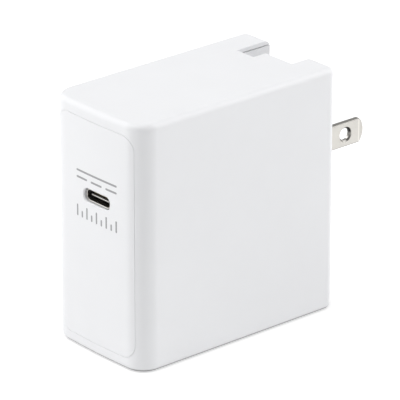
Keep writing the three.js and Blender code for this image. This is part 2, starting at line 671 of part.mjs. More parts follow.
const fuse = softBrick({ height: FUSE.height, width: FUSE.diameter, length: FUSE.diameter },
  FUSE.diameter / 2 - 0.1);
const inputStage = group([footX, 0, 0],
  piece("fuse", fuse, FINISH.fuseBrown, at(FUSE)),
  piece("inrush_thermistor", dippedDisc(THERMISTOR).rotateX(Math.PI / 2), FINISH.discGreen, at(THERMISTOR)),
  piece("x_capacitor", softBrick(FILM_CAPACITOR, 0.6), FINISH.filmGrey, at(FILM_CAPACITOR)),
  piece("choke_core", chokeCore(), FINISH.ferrite, at(CHOKE)),
  piece("choke_winding_left", chokeWinding(-1), FINISH.copperWire, at(CHOKE)),
  piece("choke_winding_right", chokeWinding(1), FINISH.copperWire, at(CHOKE)),
  piece("bridge_rectifier", softBrick(BRIDGE, 0.4), FINISH.blackPlastic, at(BRIDGE)),
  ...BULK.places.map(([y, z], i) =>
    piece(`bulk_capacitor_${i + 1}`, canCapacitor(BULK), FINISH.capacitorSleeve, [0, y, z])),
);

// L-shaped sheet: a foot on the pad over the switch, and a web standing off the board.
function primarySpreader() {
  const { foot, web, reach, bottom, top } = PRIMARY_SPREADER;
  const footHeight = SWITCH.height + PAD.height + 2 * PAD.gap + SPREADER_THICKNESS / 2;
  const edge = sheetShape([[footHeight, foot], [footHeight, web], [reach, web]], SPREADER_THICKNESS);
  return alongZ(edge, bottom, top);
}

const switchingStage = group([footX, 0, 0],
  piece("primary_switch", brick(SWITCH), FINISH.blackPlastic, at(SWITCH)),
  piece("thermal_pad", brick(PAD), FINISH.padGrey, at(SWITCH, SWITCH.height + PAD.gap)),
  piece("primary_heat_spreader", primarySpreader(), FINISH.aluminium),
  piece("flyback_controller", brick(CONTROLLER), FINISH.blackPlastic, at(CONTROLLER)),
);

const transformer = group([TRANSFORMER.x, TRANSFORMER.y, TRANSFORMER.z],
  piece("transformer_core_upper", coreHalf(), FINISH.ferrite),
  piece("transformer_core_lower", coreHalf().rotateX(Math.PI), FINISH.ferrite),
  piece("transformer_bobbin", bobbin(), FINISH.blackPlastic),
  piece("primary_winding", windingLayer(LAYERS.primary), FINISH.copperWire),
  piece("secondary_winding", windingLayer(LAYERS.secondary), FINISH.copperWire),
  piece("winding_tape", windingLayer(LAYERS.tape), FINISH.tapeYellow),
  piece("core_tape", coreTape(), FINISH.tapeYellow),
);

// Bent strip: a foot over the rectifier, a web over the capacitors and a plate beside the transformer.
function secondarySpreader() {
  const { foot, web, reach, bottom, half } = SECONDARY_SPREADER;
  const footHeight = RECTIFIER.height + PAD.gap + SPREADER_THICKNESS / 2;
  const points = [[footHeight, foot], [footHeight, web], [reach, web], [reach, bottom]];
  return alongY(sheetShape(points, SPREADER_THICKNESS), RECTIFIER.y - half, RECTIFIER.y + half);
}

const outputStage = group([footX, 0, 0],
  piece("sync_rectifier", brick(RECTIFIER), FINISH.blackPlastic, at(RECTIFIER)),
  piece("secondary_heat_spreader", secondarySpreader(), FINISH.aluminium),
  piece("y_capacitor", dippedDisc(Y_CAPACITOR), FINISH.discBlue, at(Y_CAPACITOR)),
  piece("optocoupler", brick(OPTOCOUPLER), FINISH.leadWhite, at(OPTOCOUPLER)),
  ...OUTPUT_CAPACITOR.places.map(([y, z], i) =>
    piece(`output_capacitor_${i + 1}`, canCapacitor(OUTPUT_CAPACITOR), FINISH.aluminium, [0, y, z])),
);

export default group([0, 0, 0],
  housing, plug, plugContacts, leads, port, boards, inputStage, switchingStage, transformer, outputStage,
);
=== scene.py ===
"""USB-C wall charger with a folding two-blade plug: fine meshes, finishes, studio light and camera.

Meshes are drawn in millimetres and scaled to metres when they are placed.
"""

import json
import math

import bmesh
import bpy
from mathutils import Matrix, Vector


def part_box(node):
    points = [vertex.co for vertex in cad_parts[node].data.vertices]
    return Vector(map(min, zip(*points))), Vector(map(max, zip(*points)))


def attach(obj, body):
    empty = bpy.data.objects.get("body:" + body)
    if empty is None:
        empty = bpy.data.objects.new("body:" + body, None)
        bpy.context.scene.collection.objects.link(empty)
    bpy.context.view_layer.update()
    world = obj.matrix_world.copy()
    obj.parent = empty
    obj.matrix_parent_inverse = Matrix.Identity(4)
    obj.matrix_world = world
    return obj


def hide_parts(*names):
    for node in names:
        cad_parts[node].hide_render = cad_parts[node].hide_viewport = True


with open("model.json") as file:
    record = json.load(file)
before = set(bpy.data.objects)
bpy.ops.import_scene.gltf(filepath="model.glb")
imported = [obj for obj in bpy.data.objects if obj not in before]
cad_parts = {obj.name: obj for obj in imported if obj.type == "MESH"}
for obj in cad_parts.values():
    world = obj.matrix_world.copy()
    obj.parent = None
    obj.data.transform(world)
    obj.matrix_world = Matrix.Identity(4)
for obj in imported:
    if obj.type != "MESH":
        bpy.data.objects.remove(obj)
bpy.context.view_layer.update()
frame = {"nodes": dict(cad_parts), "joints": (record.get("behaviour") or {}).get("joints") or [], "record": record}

MM = 0.001
MICROMETRE = 1e-6

SLOT_OF = {part["node"]: part["material_slot"] for part in frame["record"]["subparts"]}
COLOR_OF = {entry["slot"]: tuple(entry["base_color"]) for entry in frame["record"]["materials"]}


def box_mm(node):
    """Lowest and highest corner of a CAD node, in millimetres."""
    return [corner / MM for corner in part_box(node)]


# ---- Sizes read from the frame ----
SLEEVE_LOW, SLEEVE_HIGH = box_mm("outer_sleeve")
PLATE_LOW, PLATE_HIGH = box_mm("front_plate")
SHELL_LOW, SHELL_HIGH = box_mm("usb_shell")
TONGUE_LOW, TONGUE_HIGH = box_mm("usb_tongue")
BLADE_LOW, BLADE_HIGH = box_mm("blade_right")
AXLE_END = box_mm("blade_carrier")[1].x
PIVOT = Vector(frame["joints"][0]["pos_m"]) / MM

HALF_WIDTH = SLEEVE_HIGH.x
FRONT = SLEEVE_LOW.y
BACK = SLEEVE_HIGH.y
HEIGHT = SLEEVE_HIGH.z
MIDDLE = HEIGHT / 2
PORT_X = (SHELL_LOW.x + SHELL_HIGH.x) / 2
PORT_Z = (SHELL_LOW.z + SHELL_HIGH.z) / 2
MOUTH = SHELL_LOW.y

# ---- Case ----
FRONT_CORNER_R = 5.5
BACK_CORNER_R = 2.2
BOW_R = 203
CORNER_X = HALF_WIDTH - FRONT_CORNER_R  # centre of a front corner
CORNER_FROM_BOW = BOW_R - FRONT_CORNER_R  # from the centre of the bow to that of a front corner
CORNER_FALL = math.sqrt(CORNER_FROM_BOW**2 - CORNER_X**2)  # the part of it along Y
EDGE_R = 1.6
WALL = 2
FRONT_WALL = 3.8
LIP = 1
LIP_DEPTH = 12
SEAM = 0.25
COVER_WALL = 1.2
COVER_PLATE = 1.8
PLATE_R = 3.5
PLATE_GAP = 0.12
PLATE_SWELL = 0.11  # the plate fills most of the gap round it
PLATE_SHOWN_PROUD = 0.02
PLATE_OVERLAP = 0.3  # how much further the plate runs on round the front corners
POCKET_DEPTH = 2.1
PLATE_EDGE_R = 0.06
POCKET_EDGE_R = 0.12
APERTURE = (9.5, 3.5)
APERTURE_EDGE_R = 0.2
FLARE_ARC = 84  # degrees of rounding before a mouth runs out in a crisp line

# ---- Folding plug ----
BLADE_X = PIVOT.x + (BLADE_LOW.x + BLADE_HIGH.x) / 2
BLADE_THICKNESS = BLADE_HIGH.x - BLADE_LOW.x
BLADE_WIDTH = BLADE_HIGH.z - BLADE_LOW.z
BLADE_ROOT_WIDTH = 3.6
BLADE_HOLE_R = 1.6
BLADE_HOLE_AT = 11.9
COUNTERSINK = 0.42
TIP_BEVEL = 1.75
TIP_R = 3.9
TIP_CUT = 0.36
BLADE_EDGE_R = 0.28
SHOULDER_GAP = 0.2  # from the back face to where the blade widens
CARRIER_R = 3.9
CARRIER_HALF = 8.3
CARRIER_FLAT = 3.1
CARRIER_EDGE_R = 0.1
DETENT_FLAT = 3.3
DETENT_HALF = 3
AXLE_R = 1.5
AXLE_GAP = 0.1
RUNNING_GAP = 0.3
MOULDED_GAP = 0.05
GROOVE_INNER = 5.25
GROOVE_OUTER = 7.8
GROOVE_DEPTH = 6.75
GROOVE_BOTTOM = PIVOT.z + 3.5
NOTCH_FLOOR = HEIGHT - 11
POCKET_FAR = 10.7  # deep part of the notch, from the back face
POCKET_SIDE = -1.7
BEARING_NEAR = CARRIER_HALF + RUNNING_GAP
BEARING_FAR = AXLE_END + RUNNING_GAP
BEARING_SPLIT = 0.15
CHEEK_HALF = 4.6
TAIL = PIVOT.y - BLADE_LOW.y
TAIL_ROOM = 0.8

# ---- USB-C port ----
PORT_ROUNDNESS = 0.43  # end radius over height
SHELL_WALL = 0.3
TONGUE_THICKNESS = 0.7
TONGUE_WIDTH = 6.69
TONGUE_REACH = 4.45
TONGUE_EDGE_R = 0.12
TONGUE_GAP = 0.1  # between the tongue's root and the shell
MID_PLATE_HALF = 0.13
MID_PLATE_DEPTH = 0.2
MID_PLATE_INSET = 0.2
MID_PLATE_PROUD = 0.03
MID_PLATE_EDGE_R = 0.05
CONTACTS = 12
CONTACT_PITCH = 0.5
CONTACT_WIDTH = 0.26
CONTACT_END_R = 0.12

# ---- Inside ----
CAN_EDGE_R = 0.45
CAN_GROOVE_AT = 2  # from the foot
CAN_GROOVE_HALF = 0.8
CAN_GROOVE_DEPTH = 0.35
SLEEVE_LAP = 1.1  # shrink sleeve turned in over the free end of a can
LAP_DEPTH = 0.12  # recess that the bare end sits in
LAP_TAPER = 0.05
CAN_END_GAP = 0.1
CAN_END_DEPTHS = (0.11, 0.03, 0.01)  # of the foot, edge and face of the bare end, below the lap
CAN_END_CHAMFER = 0.05
VENT_WIDTH = 0.35
VENT_DEPTH = 0.06
VENT_REACH = 0.7  # share of the bare end's radius
DISC_ROUNDNESS = 0.95  # share of a dipped disc's half thickness that its rim takes up
DISC_MIDDLE_R = 0.1  # where the faces of a dipped disc close
FUSE_EDGE_R = 0.5
FUSE_CHAMFER = 0.3
CHOKE_BORE_R = 3.2
CHOKE_WIRE_R = 0.4
CHOKE_TURNS = 7
CHOKE_SPREAD = 1.0  # radians from the middle turn to the outer one
CHOKE_EDGE_R = 0.5
CHOKE_GAP = 0.1
CHOKE_BEND_R = 0.7

# ---- Printed marks, centred above and below the port ----
UPPER_MARK_AT = 4.65
LOWER_MARK_AT = -4.85
MARK_WIDTH = 14.8
MARK_HEIGHT = 3
STROKE = 0.5
INK_THICKNESS = 0.012
LINES_APART = 0.62  # from the middle of the upper mark to the near side of either line
DASHES_ACROSS = 3.7  # width of the broken line, in dashes
TICKS = 9
SHORT_TICK = 0.55  # share of a tall tick

# ---- Light and camera: metres and degrees ----
FLOOR_HALF = 4.0
FLOOR_COLOR = (0.6, 0.6, 0.6, 1)
FLOOR_GLOW = 0.4
FLOOR_GLOW_SEEN = 0.52
SKY_STRENGTH = 0.3
SKY_STRENGTH_SEEN = 1.1
SOFTBOX_SIZE = 1.05
SOFTBOX_DISTANCE = 1.2
CAMERA_AZIMUTH = 49.36
CAMERA_ELEVATION = 22.87
CAMERA_DISTANCE = 1.003
CAMERA_LENS = 373.06  # millimetres
CAMERA_SHIFT = (0.0144, 0.0029)

# ---- Colours that do not come from the record ----
WHITE = (0.805, 0.81, 0.825)
NICKEL = (0.69, 0.67, 0.63)
STEEL = (0.62, 0.6, 0.57)
INK_GREY = (0.33, 0.33, 0.34)
STRIPE_GREY = (0.5, 0.5, 0.48)
PAINTED_SHADOW_HEIGHT = 1.0  # height of the shadow painted along the case's foot; the whole underside is painted with it too
# how dark that painted shadow makes the case's white
PAINTED_SHADOW_SHADE = 0.3

# ---- Fineness ----
FINE = 14  # steps in a quarter circle that shows
COARSE = 6
WIRE_SIDES = 10
BEYOND = 5  # overshoot of a cutting tool
OVERLAP = 1  # overshoot of a short tool, or run of one solid into the next
TINY = 0.01
WELD = 1e-6  # metres
NODE_EDGE_R = 0.1
ROUNDED_ABOVE = 40  # degrees between two faces
SHARP_ABOVE = 35
SOFTENED_ABOVE = 30

AXIS_X, AXIS_Y, AXIS_Z = range(3)


# ---- Outlines: lists of (a, b) points, anticlockwise ----
def arc(cx, cy, radius, start, end, steps):
    """Points along an arc, with the angles in degrees."""
    turns = [math.radians(start + (end - start) * i / steps) for i in range(steps + 1)]
    return [(cx + radius * math.cos(t), cy + radius * math.sin(t)) for t in turns]


def circle(cx, cy, radius):
    return arc(cx, cy, radius, 0, 360, 4 * FINE)[:-1]


def half_turn():
    """Angles from nought to half a turn, in radians."""
    steps = 2 * COARSE
    return [math.pi * i / steps for i in range(steps + 1)]


def rounded_rectangle(width, height, radius, cx=0, cy=0, steps=FINE):
    x = width / 2 - radius
    y = height / 2 - radius
    corners = [(x, y), (-x, y), (-x, -y), (x, -y)]
    return [
        point
        for i, (px, py) in enumerate(corners)
        for point in arc(cx + px, cy + py, radius, 90 * i, 90 * i + 90, steps)
    ]


def port_outline(width, height):
    """Outline about the middle of the USB-C port, with nearly round ends."""
    return rounded_rectangle(width, height, PORT_ROUNDNESS * height, PORT_X, PORT_Z)


def rectangle(a0, a1, b0, b1):
    return [(a0, b0), (a1, b0), (a1, b1), (a0, b1)]


def case_plan(inset):
    """Plan of the case drawn in by inset: bowed front, large front corners, small back corners."""
    bow_centre = FRONT + BOW_R
    corner_y = bow_centre - CORNER_FALL
    lean = math.degrees(math.asin(CORNER_X / CORNER_FROM_BOW))
    back_x = HALF_WIDTH - BACK_CORNER_R
    back_y = BACK - BACK_CORNER_R
    back_r = BACK_CORNER_R - inset
    front_r = FRONT_CORNER_R - inset
    return [
        *arc(back_x, back_y, back_r, 0, 90, FINE),
        *arc(-back_x, back_y, back_r, 90, 180, FINE),
        *arc(-CORNER_X, corner_y, front_r, 180, 270 - lean, 2 * FINE),
        *arc(0, bow_centre, BOW_R - inset, 270 - lean, 270 + lean, 2 * FINE)[1:-1],
        *arc(CORNER_X, corner_y, front_r, 270 + lean, 360, 2 * FINE),
    ]


def rounding(radius, steps=FINE, end=90):
    """(inset, height) pairs that turn a flat end, at height 0, into an upright side."""
    turns = [math.radians(end * i / steps) for i in range(steps + 1)]
    return [(radius * (1 - math.sin(t)), radius * (1 - math.cos(t))) for t in turns]


# ---- Solids: every function takes and gives a bmesh in millimetres ----
def loft(rings):
    """Closed solid through rings with the same number of points, with a face at either end."""
    solid = bmesh.new()
    made = [[solid.verts.new(point) for point in ring] for ring in rings]
    for low, high in zip(made, made[1:]):
        for i in range(len(low)):
            j = (i + 1) % len(low)
            solid.faces.new((low[i], low[j], high[j], high[i]))
    solid.faces.new(made[0])
    solid.faces.new(made[-1])
    bmesh.ops.recalc_face_normals(solid, faces=solid.faces)
    return solid


def along_z(outline, z0, z1):
    """Prism of an (x, y) outline."""
    return loft([[(x, y, z) for x, y in outline] for z in (z0, z1)])


def along_y(outline, y0, y1):
    """Prism of an (x, z) outline."""
    return loft([[(x, y, z) for x, z in outline] for y in (y0, y1)])


def along_x(outline, x0, x1):
    """Prism of a (y, z) outline."""
    return loft([[(x, y, z) for y, z in outline] for x in (x0, x1)])


def block(x0, x1, y0, y1, z0, z1):
    return along_z(rectangle(x0, x1, y0, y1), z0, z1)


def rod_x(radius, x0, x1):
    """Round bar about the plug's pivot axis."""
    return along_x(circle(PIVOT.y, PIVOT.z, radius), x0, x1)


def turned(profile, axis, centre):
    """Solid of revolution. The profile lists (place along the axis, radius)."""
    steps = 4 * FINE
    rings = []
    for along, radius in profile:
        ring = []
        for i in range(steps):
            turn = 2 * math.pi * i / steps
            point = Vector((0, 0, 0))
            point[axis] = along
            point[(axis + 1) % 3] = radius * math.cos(turn)
            point[(axis + 2) % 3] = radius * math.sin(turn)
            ring.append(centre + point)
        rings.append(ring)
    return loft(rings)


def wire_loop(path, normal, radius):
    """Closed loop of round wire along a flat path of Vectors, whose plane has the given normal."""
    loop = bmesh.new()
    rings = []
    for i, point in enumerate(path):
        tangent = (path[(i + 1) % len(path)] - path[i - 1]).normalized()
        outward = tangent.cross(normal)
        ring = []
        for k in range(WIRE_SIDES):
            turn = 2 * math.pi * k / WIRE_SIDES
            around = outward * math.cos(turn) + normal * math.sin(turn)
            ring.append(loop.verts.new(point + radius * around))
        rings.append(ring)
    for i, ring in enumerate(rings):
        before = rings[i - 1]
        for k in range(WIRE_SIDES):
            loop.faces.new((before[k - 1], before[k], ring[k], ring[k - 1]))
    bmesh.ops.recalc_face_normals(loop, faces=loop.faces)
    return loop


def pair(near, far, make):
    """The same solid on either side of the middle: make is given x0 and x1."""
    return [make(near, far), make(-far, -near)]


def as_object(solid, name="scratch"):
    mesh = bpy.data.meshes.new(name)
    solid.to_mesh(mesh)
    solid.free()
    made = bpy.data.objects.new(name, mesh)
    bpy.context.scene.collection.objects.link(made)
    return made


def add_to(gathered, solid):
    """Adds a loose solid to a bmesh that holds several."""
    mesh = bpy.data.meshes.new("part")
    solid.to_mesh(mesh)
    solid.free()
    gathered.from_mesh(mesh)
    bpy.data.meshes.remove(mesh)


def combine(operation, solid, *tools):
    """The solid after each tool is joined to it, cut from it or kept in common with it."""
    target = as_object(solid)
    cutters = [as_object(tool) for tool in tools]
    for cutter in cutters:
        modifier = target.modifiers.new("step", "BOOLEAN")
        modifier.operation = operation
        modifier.solver = "EXACT"
        modifier.object = cutter
    result = bmesh.new()
    result.from_object(target, bpy.context.evaluated_depsgraph_get())
    for scratch in [target, *cutters]:
        mesh = scratch.data
        bpy.data.objects.remove(scratch)
        bpy.data.meshes.remove(mesh)
    bmesh.ops.remove_doubles(result, verts=result.verts, dist=TINY / 20)
    return result


def join(solid, *tools):
    return combine("UNION", solid, *tools)


def cut(solid, *tools):
    return combine("DIFFERENCE", solid, *tools)


def common(solid, *tools):
    return combine("INTERSECT", solid, *tools)


def everywhere(point):
    return True


def round_edges(solid, where, radius, segments=3):
    """Rounds the sharp edges whose two ends both lie where the test says."""
    chosen = [
        edge
        for edge in solid.edges
        if len(edge.link_faces) == 2
        and math.degrees(edge.calc_face_angle(0)) > ROUNDED_ABOVE
        and all(where(vertex.co) for vertex in edge.verts)
    ]
    bmesh.ops.bevel(
        solid, geom=chosen, offset=radius, segments=segments, profile=0.5, affect="EDGES", clamp_overlap=True
    )
    return solid


def fallen_back(x):
    """How far the front has fallen back at a distance x from its middle: by its bow, then by its corners."""
    if abs(x) < CORNER_X * BOW_R / CORNER_FROM_BOW:
        return BOW_R - math.sqrt(BOW_R**2 - x**2)
    into_corner = min(abs(x) - CORNER_X, FRONT_CORNER_R)
    return BOW_R - CORNER_FALL - math.sqrt(FRONT_CORNER_R**2 - into_corner**2)


def bend_to_front(solid, surface):
    """Slices a solid drawn with y as depth behind a flat front, and lays it on the curved front."""
    slice_width = 0.5
    reach = max(abs(vertex.co.x) for vertex in solid.verts)
    count = int(reach / slice_width)
    for i in range(-count, count + 1):
        everything = solid.verts[:] + solid.edges[:] + solid.faces[:]
        bmesh.ops.bisect_plane(
            solid, geom=everything, dist=TINY / 10, plane_co=(i * slice_width, 0, 0), plane_no=(1, 0, 0)
        )
    for vertex in solid.verts:
        vertex.co.y += surface + fallen_back(vertex.co.x)
    return solid


# ---- Case pieces ----
def case_envelope():
    """Outside of the whole case, with rounded top and bottom edges."""
    low = [[(x, y, h) for x, y in case_plan(inset)] for inset, h in rounding(EDGE_R)]
    high = [[(x, y, HEIGHT - h) for x, y in case_plan(inset)] for inset, h in rounding(EDGE_R)]
    return loft(low + high[::-1])


def flared_tool(outline, depth, radius):
    """Cutting tool with a rounded mouth, drawn flat: y is the depth behind the front surface.

    The outline function takes how far the outline grows."""
    mouth = rounding(radius, COARSE, FLARE_ARC)
    rings = [(0, depth)] + [(radius - inset, radius - height) for inset, height in mouth]
    widest = rings[-1][0]
    rings.append((widest + TINY, -BEYOND))
    return loft([[(x, y, z) for x, z in outline(grow)] for grow, y in rings])


def plate_outline(grow):
    width = PLATE_HIGH.x - PLATE_LOW.x + 2 * (PLATE_OVERLAP + grow)
    height = PLATE_HIGH.z - PLATE_LOW.z + 2 * grow
    return rounded_rectangle(width, height, PLATE_R + grow, 0, MIDDLE)


def aperture_outline(grow):
    width, height = APERTURE
    return port_outline(width + 2 * grow, height + 2 * grow)


def notch_tools(bottom):
    """The finger notch: a shallow part as wide as the blades and a deep part at -X."""
    top = HEIGHT + BEYOND
    far = BACK + BEYOND
    return [
        block(-GROOVE_OUTER, GROOVE_OUTER, BACK - GROOVE_DEPTH, far, bottom, top),
        block(-GROOVE_OUTER, POCKET_SIDE, BACK - POCKET_FAR, far, bottom, top),
    ]


def back_outline(inset):
    return rounded_rectangle(2 * (HALF_WIDTH - inset), HEIGHT - 2 * inset, LIP, 0, MIDDLE)


def outer_sleeve():
    side = HALF_WIDTH - WALL
    cavity = block(-side, side, FRONT + FRONT_WALL, BACK + BEYOND, WALL, HEIGHT - WALL)
    rebate = along_y(back_outline(LIP), BACK - LIP_DEPTH, BACK + BEYOND)
    pocket = flared_tool(lambda grow: plate_outline(PLATE_GAP + grow), POCKET_DEPTH, POCKET_EDGE_R)
    port = along_y(aperture_outline(0), FRONT - BEYOND, FRONT + FRONT_WALL + BEYOND)
    solid = cut(case_envelope(), cavity, rebate, bend_to_front(pocket, FRONT), port)
    return cut(solid, *notch_tools(MIDDLE))


def front_plate():
    depth = POCKET_DEPTH - PLATE_GAP
    edge = [(PLATE_SWELL - inset, height) for inset, height in rounding(PLATE_EDGE_R, COARSE)]
    slab = loft([[(x, y, z) for x, z in plate_outline(grow)] for grow, y in [*edge, (PLATE_SWELL, depth)]])
    solid = cut(slab, flared_tool(aperture_outline, depth + BEYOND, APERTURE_EDGE_R))
    return bend_to_front(solid, FRONT - PLATE_SHOWN_PROUD)


def rear_cover():
    inner = BACK - COVER_PLATE
    rim = BACK - LIP_DEPTH + SEAM
    tray = common(case_envelope(), along_y(back_outline(LIP + SEAM), rim, BACK + BEYOND))
    tray = cut(tray, along_y(back_outline(LIP + SEAM + COVER_WALL), rim - BEYOND, inner))
    side = GROOVE_OUTER + COVER_WALL
    groove_back = BACK - GROOVE_DEPTH - COVER_WALL
    into = inner + OVERLAP
    top = HEIGHT - LIP - SEAM
    floor = NOTCH_FLOOR - COVER_WALL
    notch_box = [
        block(-side, side, groove_back, into, floor, top),
        block(-side, POCKET_SIDE + COVER_WALL, rim, into, floor, top),
    ]
    troughs = pair(
        GROOVE_INNER - COVER_WALL,
        side,
        lambda x0, x1: block(x0, x1, groove_back, into, GROOVE_BOTTOM, NOTCH_FLOOR),
    )
    cheek_z = (PIVOT.z - CHEEK_HALF, PIVOT.z + CHEEK_HALF)
    cheeks = pair(
        BEARING_NEAR,
        BEARING_FAR,
        lambda x0, x1: block(x0, x1, PIVOT.y + BEARING_SPLIT, into, *cheek_z),
    )
    solid = join(tray, *notch_box, *troughs, *cheeks)
    return cut(solid, *notch_tools(NOTCH_FLOOR), *groove_tools(), *carrier_tools())


def groove_tools():
    """The two channels that the blades fold up into."""
    return pair(
        GROOVE_INNER,
        GROOVE_OUTER,
        lambda x0, x1: block(x0, x1, BACK - GROOVE_DEPTH, BACK + BEYOND, PIVOT.z, NOTCH_FLOOR + OVERLAP),
    )


def carrier_tools():
    """Room in the cover for the turning carrier, its axles and the blade tails."""
    reach = TAIL + TAIL_ROOM
    side = BLADE_ROOT_WIDTH / 2 + RUNNING_GAP
    tails = pair(
        GROOVE_INNER,
        GROOVE_OUTER,
        lambda x0, x1: block(x0, x1, PIVOT.y - reach, PIVOT.y + side, PIVOT.z - reach, PIVOT.z),
    )
    barrel = rod_x(CARRIER_R + RUNNING_GAP, -BEARING_NEAR, BEARING_NEAR)
    axles = rod_x(AXLE_R + AXLE_GAP, -BEARING_FAR - OVERLAP, BEARING_FAR + OVERLAP)
    return [barrel, axles, *tails]


# ---- Folding plug ----
def blade_carrier():
    """Barrel and stub axles with four flats and two blade slots. Edges beside the detent stay sharp."""
    far = CARRIER_R + OVERLAP
    barrel = join(rod_x(CARRIER_R, -CARRIER_HALF, CARRIER_HALF), rod_x(AXLE_R, -AXLE_END, AXLE_END))

    def around(x, y0, y1, z0, z1):
        return block(-x, x, PIVOT.y + y0, PIVOT.y + y1, PIVOT.z + z0, PIVOT.z + z1)

    flats = [
        around(AXLE_END + OVERLAP, CARRIER_FLAT, far, -far, far),
        around(AXLE_END + OVERLAP, -far, far, -far, -CARRIER_FLAT),
        around(DETENT_HALF, -far, -DETENT_FLAT, -far, far),
        around(DETENT_HALF, -far, far, DETENT_FLAT, far),
    ]
    slot_half = BLADE_ROOT_WIDTH / 2 + MOULDED_GAP
    slots = pair(
        BLADE_X - BLADE_THICKNESS / 2 - MOULDED_GAP,
        BLADE_X + BLADE_THICKNESS / 2 + MOULDED_GAP,
        lambda x0, x1: block(x0, x1, PIVOT.y - far, PIVOT.y + far, PIVOT.z - slot_half, PIVOT.z + slot_half),
    )

    def off_detent(p):
        return abs(abs(p.x) - DETENT_HALF) > TINY

    return round_edges(cut(barrel, *flats, *slots), off_detent, CARRIER_EDGE_R, segments=2)


def blade(x):
    """One blade: a narrow root, then the full width with a countersunk hole and a coined round tip."""
    half = BLADE_WIDTH / 2
    tip = BLADE_HIGH.y
    shoulder = BACK + SHOULDER_GAP
    root = BLADE_ROOT_WIDTH / 2
    sweep = math.degrees(math.asin(half / TIP_R))
    outline = [
        (BLADE_LOW.y, PIVOT.z - root),
        (shoulder, PIVOT.z - root),
        (shoulder, PIVOT.z - half),
        *arc(tip - TIP_R, PIVOT.z, TIP_R, -sweep, sweep, 2 * FINE),
        (shoulder, PIVOT.z + half),
        (shoulder, PIVOT.z + root),
        (BLADE_LOW.y, PIVOT.z + root),
    ]
    face = BLADE_THICKNESS / 2
    bevels = [tip_bevel(x, side) for side in (-1, 1)]
    solid = cut(along_x(outline, x - face, x + face), *bevels)
    round_edges(solid, everywhere, BLADE_EDGE_R)
    return cut(solid, hole_tool(x, BACK + BLADE_HOLE_AT))


def tip_bevel(x, side):
    """Wedge that thins one side of the tip."""
    face = x + side * BLADE_THICKNESS / 2
    start = BLADE_HIGH.y - TIP_BEVEL
    slope = TIP_CUT / TIP_BEVEL
    outside = face + side * OVERLAP
    end = start + TIP_BEVEL + OVERLAP
    inside = face - side * slope * (TIP_BEVEL + OVERLAP)
    outline = [(face, start), (outside, start), (outside, end), (inside, end)]
    return along_z(outline, BLADE_LOW.z - OVERLAP, BLADE_HIGH.z + OVERLAP)


def hole_tool(x, y):
    """Round punch with a countersink at either face."""
    face = BLADE_THICKNESS / 2
    mouth_r = BLADE_HOLE_R + COUNTERSINK + OVERLAP
    profile = [
        (-face - OVERLAP, mouth_r),
        (COUNTERSINK - face, BLADE_HOLE_R),
        (face - COUNTERSINK, BLADE_HOLE_R),
        (face + OVERLAP, mouth_r),
    ]
    return loft([[(x + a, py, pz) for py, pz in circle(y, PIVOT.z, r)] for a, r in profile])


# ---- USB-C port ----
def usb_shell():
    """Drawn steel tube with a rolled rim, closed at the back."""
    back = SHELL_HIGH.y
    half = SHELL_WALL / 2
    rim = [(half - half * math.cos(t), half - half * math.sin(t)) for t in half_turn()]
    rings = [(0, back - MOUTH), *rim, (SHELL_WALL, back - MOUTH - SHELL_WALL)]
    width = SHELL_HIGH.x - SHELL_LOW.x
    height = SHELL_HIGH.z - SHELL_LOW.z
    return loft(
        [
            [(x, MOUTH + y, z) for x, z in port_outline(width - 2 * inset, height - 2 * inset)]
            for inset, y in rings
        ]
    )


def usb_tongue():
    """Tongue with a softened front edge on a block that fills the back of the shell."""
    clear = SHELL_WALL + TONGUE_GAP
    width = SHELL_HIGH.x - SHELL_LOW.x - 2 * clear
    height = SHELL_HIGH.z - SHELL_LOW.z - 2 * clear
    step = TONGUE_LOW.y + TONGUE_REACH
    root = along_y(port_outline(width, height), step, TONGUE_HIGH.y)
    half = TONGUE_THICKNESS / 2
    plan = rectangle(PORT_X - TONGUE_WIDTH / 2, PORT_X + TONGUE_WIDTH / 2, TONGUE_LOW.y, step + OVERLAP)
    blank = along_z(plan, PORT_Z - half, PORT_Z + half)
    round_edges(blank, lambda p: p.y < TONGUE_LOW.y + TINY, TONGUE_EDGE_R)
    return join(root, blank)


def mid_plate():
    """Bright steel edge of the plate moulded into the tongue, standing just clear of its front."""
    side = TONGUE_WIDTH / 2 - MID_PLATE_INSET
    start = TONGUE_LOW.y - MID_PLATE_PROUD
    height = (PORT_Z - MID_PLATE_HALF, PORT_Z + MID_PLATE_HALF)
    plate = block(PORT_X - side, PORT_X + side, start, start + MID_PLATE_DEPTH, *height)
    return round_edges(plate, everywhere, MID_PLATE_EDGE_R)


def contact_row(node):
    """Plated strips with rounded ends, side by side on one face of the tongue."""
    low, high = box_mm(node)
    middle = (low.y + high.y) / 2
    strips = bmesh.new()
    for i in range(CONTACTS):
        x = PORT_X + (i - (CONTACTS - 1) / 2) * CONTACT_PITCH
        outline = rounded_rectangle(CONTACT_WIDTH, high.y - low.y, CONTACT_END_R, x, middle, COARSE)
        add_to(strips, along_z(outline, low.z, high.z))
    return strips


# ---- Inside: round pieces, whose CAD solids have few sides ----
def span_of(node):
    """Centre and size of a CAD node, in millimetres."""
    low, high = box_mm(node)
    return (low + high) / 2, high - low


def can_capacitor(node):
    """Can along X with a crimped groove near its foot, and a shrink sleeve turned in at the free end."""
    centre, size = span_of(node)
    radius = size.y / 2
    foot = -size.x / 2
    end = size.x / 2
    middle = foot + CAN_GROOVE_AT
    edge = rounding(CAN_EDGE_R, COARSE)
    groove = [
        (middle - CAN_GROOVE_HALF * math.cos(t), radius - CAN_GROOVE_DEPTH * math.sin(t))
        for t in half_turn()
    ]
    profile = [
        *[(foot + h, radius - inset) for inset, h in edge],
        *groove,
        *[(end - h, radius - inset) for inset, h in reversed(edge)],
        (end, radius - SLEEVE_LAP),
        (end - LAP_DEPTH, radius - SLEEVE_LAP - LAP_TAPER),
    ]
    return turned(profile, AXIS_X, centre)


